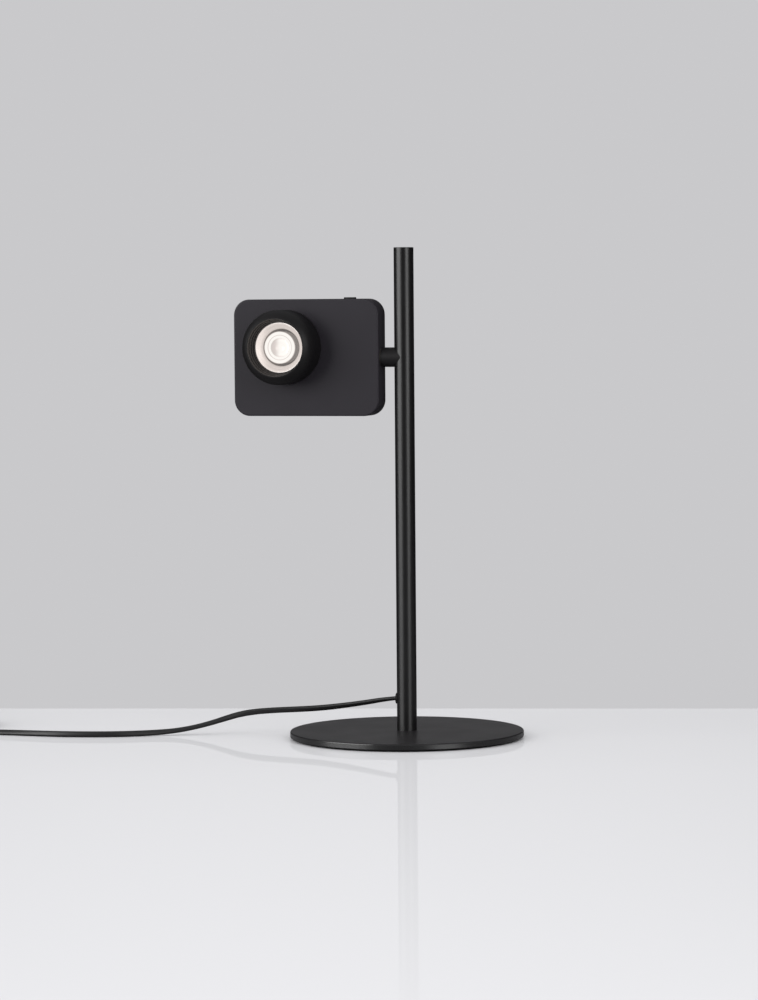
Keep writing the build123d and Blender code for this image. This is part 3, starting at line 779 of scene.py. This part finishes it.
def rings(finish, levels, reach):
    """Colour by the distance from the spot's axis, which runs along Y. The reach is in millimetres."""
    across = finish.vector_maths("SUBTRACT", finish.place, spot_axis)
    across = finish.vector_maths("MULTIPLY", across, off_axis)
    distance = finish.vector_maths("LENGTH", across, output="Value")
    stops = [(radius / reach, warm(level)) for radius, level in levels]
    share = distance * (1 / (reach * millimetre))
    return finish.node("ShaderNodeValToRGB", {"stops": stops}, {"Fac": share})


def leaning(finish, low, high):
    """0 on the left of the axis and 1 on the right, with a smooth rise between two places, in mm."""
    across = finish.part(finish.place, "X") - spot_axis.x
    return finish.between(across, low * millimetre, high * millimetre)


print("spot axis at", short(spot_axis))

# %% [markdown]
# ## Lens
# The lens has a bright outer ring, a fine dark groove and a dish in the middle. The dish shows the
# light source on its right side only, so the left side of the dish gets the dimmer ramp, which is
# painted shade.

# %% Lens
lens_reach = 13.05
dish_bright = [(0.0, 0.96), (5.6, 0.96), (6.4, 0.92), (7.0, 0.76), (7.5, 0.72)]
# Painted shade: the dish's left side glows dimmer than its right.
dish_painted_shade = [
    (0.0, 0.96), (2.0, 0.93), (3.0, 0.88), (4.0, 0.80), (5.0, 0.71), (6.0, 0.63), (7.5, 0.56),
]
rim_levels = [
    (7.8, 0.95), (9.5, 0.96), (9.8, 0.70), (10.1, 0.70),
    (10.4, 0.95), (12.3, 0.96), (12.8, 0.74), (13.0, 0.34),
]
dish_blend = (-5.5, -0.5)
lens_ripple = 2.0
ripple_dent = 0.002
lit_lens = Finish(
    "lit_lens", Base_Color=(0.06, 0.06, 0.06, 1), Roughness=0.12, IOR=1.49, Emission_Strength=0.97,
)
lean = leaning(lit_lens, *dish_blend)
painted_shade_side = rings(lit_lens, dish_painted_shade + rim_levels, lens_reach)
bright_side = rings(lit_lens, dish_bright + rim_levels, lens_reach)
lit_lens.vary(Emission_Color=lit_lens.blend(lean, painted_shade_side, bright_side))
lit_lens.bump(lit_lens.noise(lens_ripple), ripple_dent)
lit_lens.dress("lens")

# %% [markdown]
# ## Reflector
# The ring round the lens is bright satin metal that the light grazes. A mirror alone would show the
# dark room, so the ring glows a little too, as a painted reflection of the light, with painted shade
# towards its inner edge. Its left side gets brighter painted light, and the rest has one fine darker
# ring in its glow.

# %% Reflector
reflector_reach = 20.0
# The ring's whole glow is a painted reflection, with painted shade at its inner edge and painted light
# on its left.
inner_edge_painted_shade = [(14.85, 0.06), (15.1, 0.10), (15.4, 0.56)]
dim_glow_levels = [(17.3, 0.62), (17.7, 0.50), (18.1, 0.60), (19.6, 0.66)]
painted_light_levels = [(17.0, 0.76), (19.6, 0.80)]
painted_light_reach = (-16.5, -9.0)
silver_painted_glow = coated(
    "silver_painted_glow", dark=(0.56, 0.54, 0.52), light=(0.66, 0.64, 0.62),
    roughness=0.30, grain=0.6, dent=0.004, Metallic=0.9, Emission_Strength=0.85,
)
lean = leaning(silver_painted_glow, *painted_light_reach)
painted_light_side = rings(silver_painted_glow, inner_edge_painted_shade + painted_light_levels, reflector_reach)
dim_glow_side = rings(silver_painted_glow, inner_edge_painted_shade + dim_glow_levels, reflector_reach)
silver_painted_glow.vary(Emission_Color=silver_painted_glow.blend(lean, painted_light_side, dim_glow_side))
silver_painted_glow.dress("reflector")

# %% [markdown]
# ## Cup and light source
# The cup that holds the lens is grey plastic that some of the light comes through. The light source
# itself sits behind the lens, yellow from its phosphor.

# %% Cup and light source
cup_plastic = coated(
    "cup_plastic", dark=(0.20, 0.19, 0.18), light=(0.26, 0.25, 0.24),
    roughness=0.45, grain=0.3, dent=0.004,
    Emission_Color=(1.0, 0.95, 0.92, 1), Emission_Strength=0.10,
)
cup_plastic.dress("lens_holder")
phosphor = coated(
    "phosphor", dark=(0.85, 0.70, 0.35), light=(0.95, 0.80, 0.45),
    roughness=0.3, grain=0.4, dent=0.003,
    Emission_Color=(1.0, 0.90, 0.78, 1), Emission_Strength=3.0,
)
phosphor.dress("led_emitter")

# %% [markdown]
# ## Light of the spot
# A glowing surface lights its neighbours only weakly, so a small round lamp sits just before the
# lens and warms the steps of the glare cone. It rides on the head and turns with it.

# %% Light of the spot
spot_light_size = 20.0 * millimetre
spot_light_gap = 1.0 * millimetre
spot_light_power = 0.002
spot_light_tint = (1.0, 0.80, 0.68)
forward = Vector((0, -1, 0))


def area_lamp(name, shape, size, power, place, direction):
    """A soft lamp that shines along a direction. The camera doesn't see it."""
    light = bpy.data.lights.new(name, "AREA")
    light.shape = shape
    light.size, light.size_y = size
    light.energy = power
    lamp = put_in_scene(name, light)
    turned = direction.to_track_quat("-Z", "Y").to_matrix().to_4x4()
    lamp.matrix_world = Matrix.Translation(place) @ turned
    lamp.visible_camera = False
    return lamp


spot_place = Vector((spot_axis.x, lens_low.y - spot_light_gap, spot_axis.z))
spot_size = (spot_light_size, spot_light_size)
spot_lamp = area_lamp("spot_light", "DISK", spot_size, spot_light_power, spot_place, forward)
spot_lamp.data.color = spot_light_tint
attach(spot_lamp, "head")
print("spot light at", short(spot_place))

# %% [markdown]
# ## Table
# The floor is a pale glossy sheet whose far edge lies along a row of the picture, so its corners are
# found by sending rays through that row. Its gloss is weak, which a refractive index close to 1
# gives: the lamp's mirror image is faint and sharp. The camera sees it paler than the lamp does, as
# if black cards on the table kept the bounce off the lamp's undersides.

# %% Shape of the floor
far_edge_row = 708.5
side_room = 1.0
front_room = 2.2


def floor_point(column, row):
    """Where the ray through a pixel meets the floor."""
    across = (column - picture_width / 2) / focal_length_px
    rise = (picture_height / 2 - row) / focal_length_px
    ray = look + across * picture_right + rise * picture_up
    return camera_place - ray * (camera_place.z / ray.z)


far_left = floor_point(0, far_edge_row)
far_right = floor_point(picture_width, far_edge_row)
along = (far_right - far_left).normalized()
nearer = Vector((along.y, -along.x, 0))
far_left -= side_room * along
far_right += side_room * along
corners = [far_left + front_room * nearer, far_right + front_room * nearer, far_right, far_left]
floor_mesh = bpy.data.meshes.new("floor")
floor_mesh.from_pydata([tuple(corner) for corner in corners], [], [tuple(range(len(corners)))])
floor = put_in_scene("floor", floor_mesh)
print("floor corners", [short(corner) for corner in corners])

# %% Finish of the floor
floor_grey = (0.688, 0.688, 0.702)
bounce_grey = (0.20, 0.20, 0.205)
floor_sheet = Finish("floor_sheet", Roughness=0.02, IOR=1.05)
seen_ray = floor_sheet.node("ShaderNodeLightPath", output="Is Camera Ray")
floor_sheet.vary(Base_Color=floor_sheet.blend(seen_ray, bounce_grey, floor_grey))
floor_sheet.dress("floor")

# %% [markdown]
# ## World
# The world is the plain grey behind the table. Soft light comes from all of it, and what shines in
# the gloss is a dim room with a pale ceiling, in which the grey backdrop fills only the part behind
# the lamp. So the post's edges and the box's side stay dark, as they do in a studio with black
# screens on both sides.

# %% World
wall_grey = (0.586, 0.584, 0.598)
room_grey = (0.022, 0.022, 0.023)
ceiling_grey = (0.36, 0.36, 0.37)
ambient_grey = (0.90, 0.90, 0.91)
ceiling_rise = (0.35, 0.90)
backdrop_cosines = (0.965, 0.995)
world = bpy.data.worlds.new("plain_grey")
world.use_nodes = True
bpy.context.scene.world = world
sky = Graph(world.node_tree)
direction = sky.node("ShaderNodeTexCoord", output="Generated")
ahead_cosine = sky.vector_maths("DOT_PRODUCT", direction, ahead, "Value")
room = sky.blend(sky.between(sky.part(direction, "Z"), *ceiling_rise), room_grey, ceiling_grey)
room = sky.blend(sky.between(ahead_cosine, *backdrop_cosines), room, wall_grey)
camera_ray = sky.node("ShaderNodeLightPath", output="Is Camera Ray")
glossy_ray = sky.node("ShaderNodeLightPath", output="Is Glossy Ray")
clear_ray = sky.node("ShaderNodeLightPath", output="Is Transmission Ray")
unseen = sky.blend(glossy_ray, ambient_grey, room)
background = sky.tree.nodes["Background"]
sky.feed(background.inputs["Color"], sky.blend(camera_ray + clear_ray, unseen, wall_grey))
print("world has", len(sky.tree.nodes), "nodes")

# %% [markdown]
# ## Lamps
# Two large softboxes stand to the left and the right. They are far off, so that the table is lit
# evenly. Their width sets how wide the stripes on the post are, and the dark between them keeps the
# post's middle black. The Standard view shows a colour about as it is written.

# %% Lamps
lamp_middle = Vector((-0.05, 0.0, 0.2))
softbox_distance = 2.6
softbox_height = 0.88


def softbox(name, turn, size, power):
    """A soft lamp, turned about the object from the view's axis, to the left where it is negative."""
    angle = camera_turn + math.radians(turn)
    away = Vector((math.sin(angle), -math.cos(angle), 0))
    place = away * softbox_distance + Vector((lamp_middle.x, 0, softbox_height))
    area_lamp(name, "RECTANGLE", size, power, place, lamp_middle - place)


softbox("left_softbox", turn=-61.5, size=(2.35, 1.73), power=48)
softbox("right_softbox", turn=38.5, size=(1.35, 1.73), power=23)
bpy.context.scene.view_settings.view_transform = "Standard"
